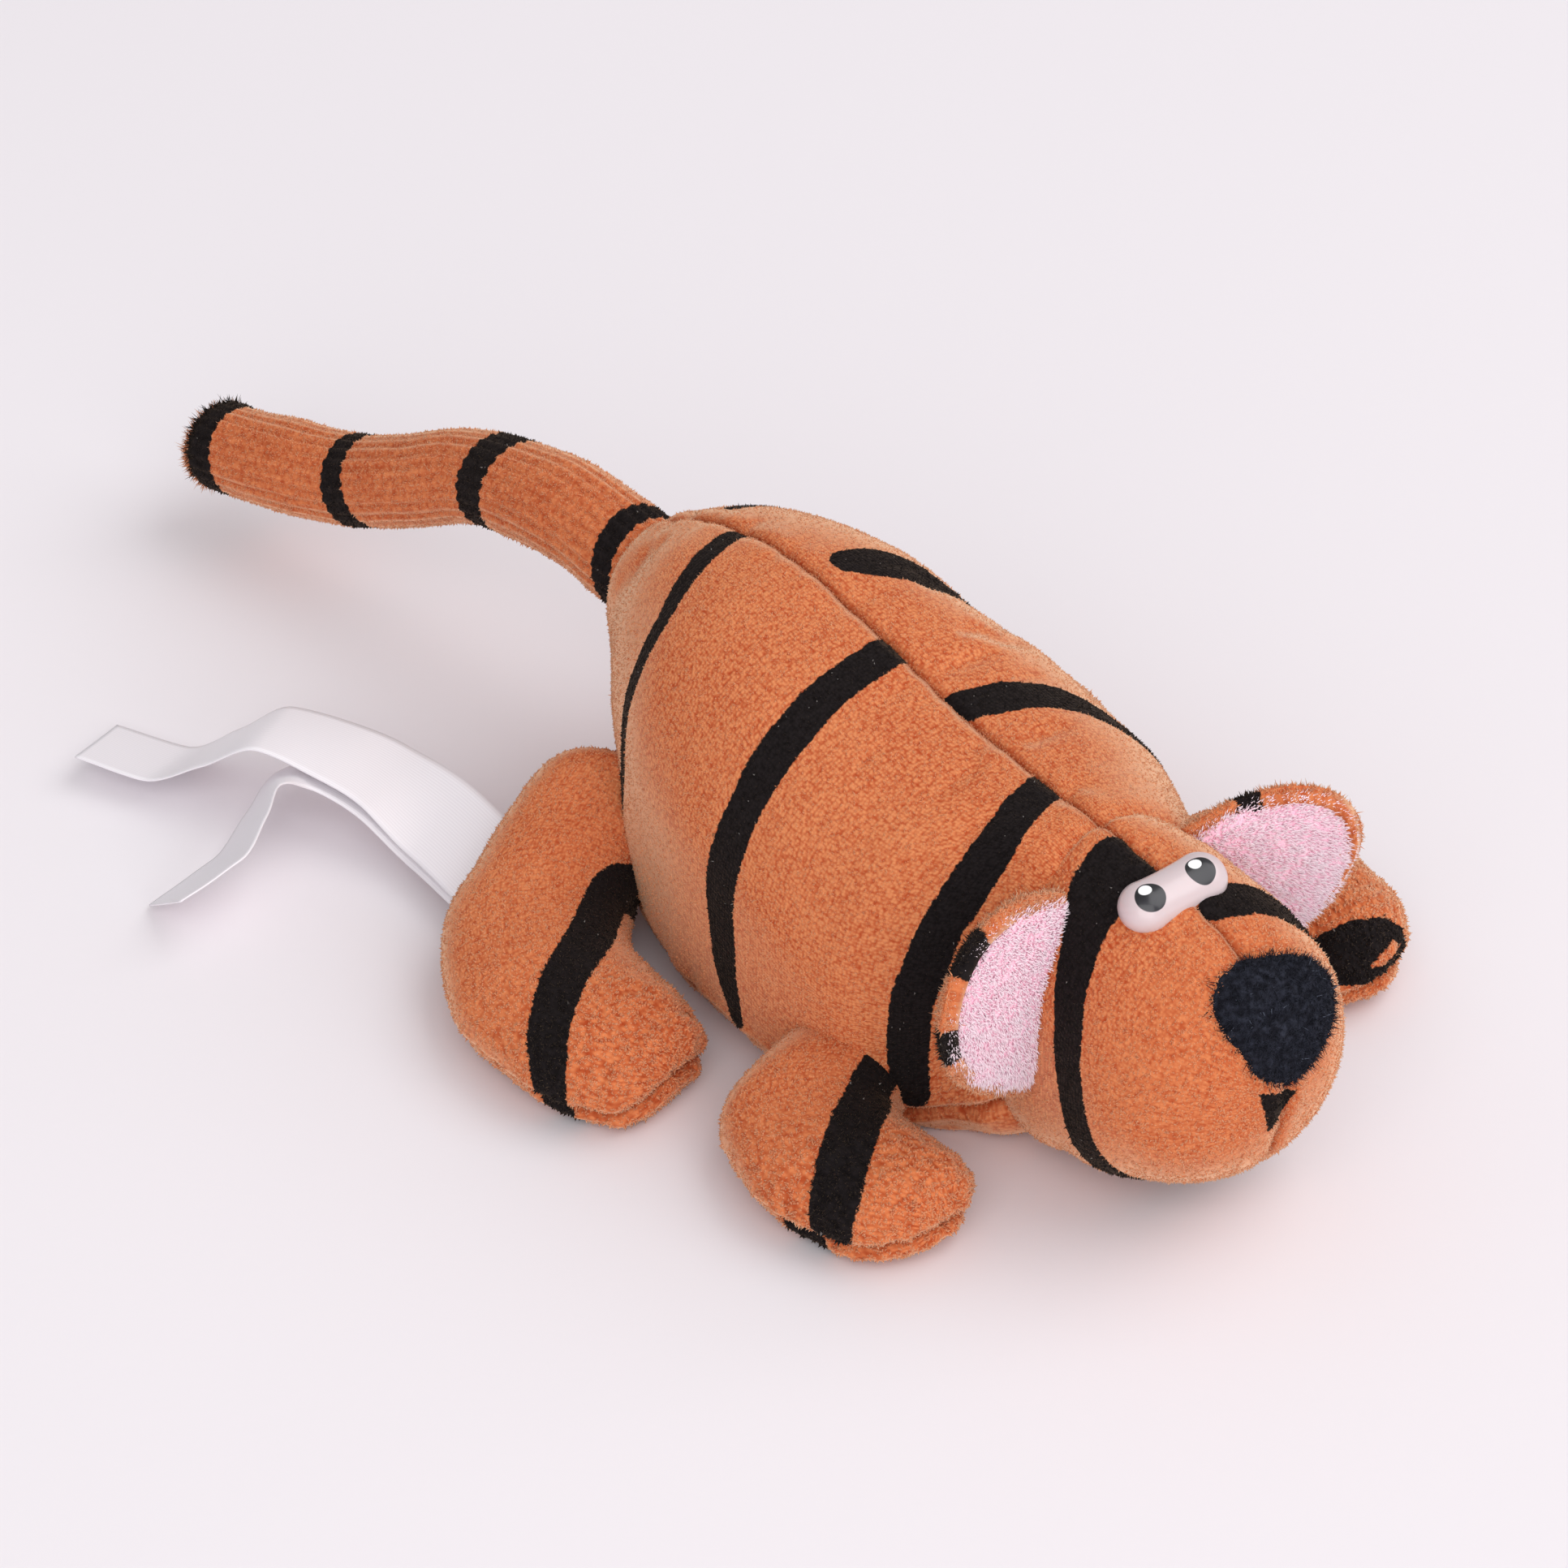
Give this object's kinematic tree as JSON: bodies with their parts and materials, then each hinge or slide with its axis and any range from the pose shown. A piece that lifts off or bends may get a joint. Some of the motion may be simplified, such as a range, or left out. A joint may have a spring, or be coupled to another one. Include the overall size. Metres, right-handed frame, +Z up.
{
  "type": "plush tiger",
  "caption": "Small stuffed tiger lying on its belly, in velour panels over soft stuffing, with splayed legs, a long tail, pink-lined ears, moulded eyes, a fuzzy nose and a ribbon label.",
  "frame": {"origin": "on the flattened belly, on the plane the toy lies on, under the middle of the body", "axes": "-Y the way the face points, +X the toy's own left side, +Z up"},
  "size_m": [0.1099, 0.1892, 0.0446],
  "materials": {
    "velour": "short pile",
    "pink_plush": "brushed pile",
    "nose_fuzz": "curly pile",
    "fibre": "loose fibre",
    "eye_plastic": "moulded gloss",
    "washer_plastic": "moulded satin",
    "satin": "satin ribbon"
  },
  "bodies": {
    "torso": {"body_left_panel": "velour", "body_right_panel": "velour", "belly_panel": "velour", "body_stuffing": "fibre"},
    "head": {"head_left_panel": "velour", "head_right_panel": "velour", "head_stuffing": "fibre", "nose_patch": "nose_fuzz", "eye_piece": "eye_plastic", "eye_washer_left": "washer_plastic", "eye_washer_right": "washer_plastic"},
    "ear_left": {"ear_left_front": "pink_plush", "ear_left_back": "velour"},
    "ear_right": {"ear_right_front": "pink_plush", "ear_right_back": "velour"},
    "tail": {"tail_cover": "velour", "tail_stuffing": "fibre"},
    "label": {"label_ribbon_long": "satin", "label_ribbon_short": "satin"},
    "front_left_leg": {"front_left_leg_upper": "velour", "front_left_leg_sole": "velour", "front_left_leg_stuffing": "fibre"},
    "front_right_leg": {"front_right_leg_upper": "velour", "front_right_leg_sole": "velour", "front_right_leg_stuffing": "fibre"},
    "rear_left_leg": {"rear_left_leg_upper": "velour", "rear_left_leg_sole": "velour", "rear_left_leg_stuffing": "fibre"},
    "rear_right_leg": {"rear_right_leg_upper": "velour", "rear_right_leg_sole": "velour", "rear_right_leg_stuffing": "fibre"}
  },
  "joints": [
    {"name": "head_nod", "type": "hinge", "parent": "torso", "child": "head", "pos_m": [0, -0.038, 0.0214], "axis": [-1, 0, 0], "range_deg": [-10, 10], "stiffness_Nm_per_rad": 0.15},
    {"name": "ear_left_fold", "type": "hinge", "parent": "head", "child": "ear_left", "pos_m": [0.0119, -0.0449, 0.02435], "axis": [0.2806, -0.0765, -0.9568], "range_deg": [-20, 20], "stiffness_Nm_per_rad": 0.005},
    {"name": "ear_right_fold", "type": "hinge", "parent": "head", "child": "ear_right", "pos_m": [-0.0119, -0.0449, 0.02435], "axis": [0.2806, 0.0765, 0.9568], "range_deg": [-20, 20], "stiffness_Nm_per_rad": 0.005},
    {"name": "front_left_leg_lift", "type": "hinge", "parent": "torso", "child": "front_left_leg", "pos_m": [0.0195, -0.0245, 0.0068], "axis": [-0.7314, -0.682, 0], "range_deg": [-12, 12], "stiffness_Nm_per_rad": 0.05},
    {"name": "front_right_leg_lift", "type": "hinge", "parent": "torso", "child": "front_right_leg", "pos_m": [-0.0195, -0.0245, 0.0068], "axis": [-0.5736, 0.8192, 0], "range_deg": [-12, 12], "stiffness_Nm_per_rad": 0.05},
    {"name": "rear_left_leg_lift", "type": "hinge", "parent": "torso", "child": "rear_left_leg", "pos_m": [0.0165, 0.0205, 0.0105], "axis": [-0.3584, -0.9336, 0], "range_deg": [-12, 12], "stiffness_Nm_per_rad": 0.05},
    {"name": "rear_right_leg_lift", "type": "hinge", "parent": "torso", "child": "rear_right_leg", "pos_m": [-0.0165, 0.0205, 0.0105], "axis": [-0.5446, 0.8387, 0], "range_deg": [-12, 12], "stiffness_Nm_per_rad": 0.05},
    {"name": "tail_swing", "type": "hinge", "parent": "torso", "child": "tail", "pos_m": [0, 0.0372, 0.0284], "axis": [0, 0, 1], "range_deg": [-25, 25], "stiffness_Nm_per_rad": 0.02},
    {"name": "label_lift", "type": "hinge", "parent": "rear_right_leg", "child": "label", "pos_m": [-0.0318, 0.0285, 0.0068], "axis": [0.8719, 0.2595, 0.4152], "range_deg": [0, 60]}
  ]
}
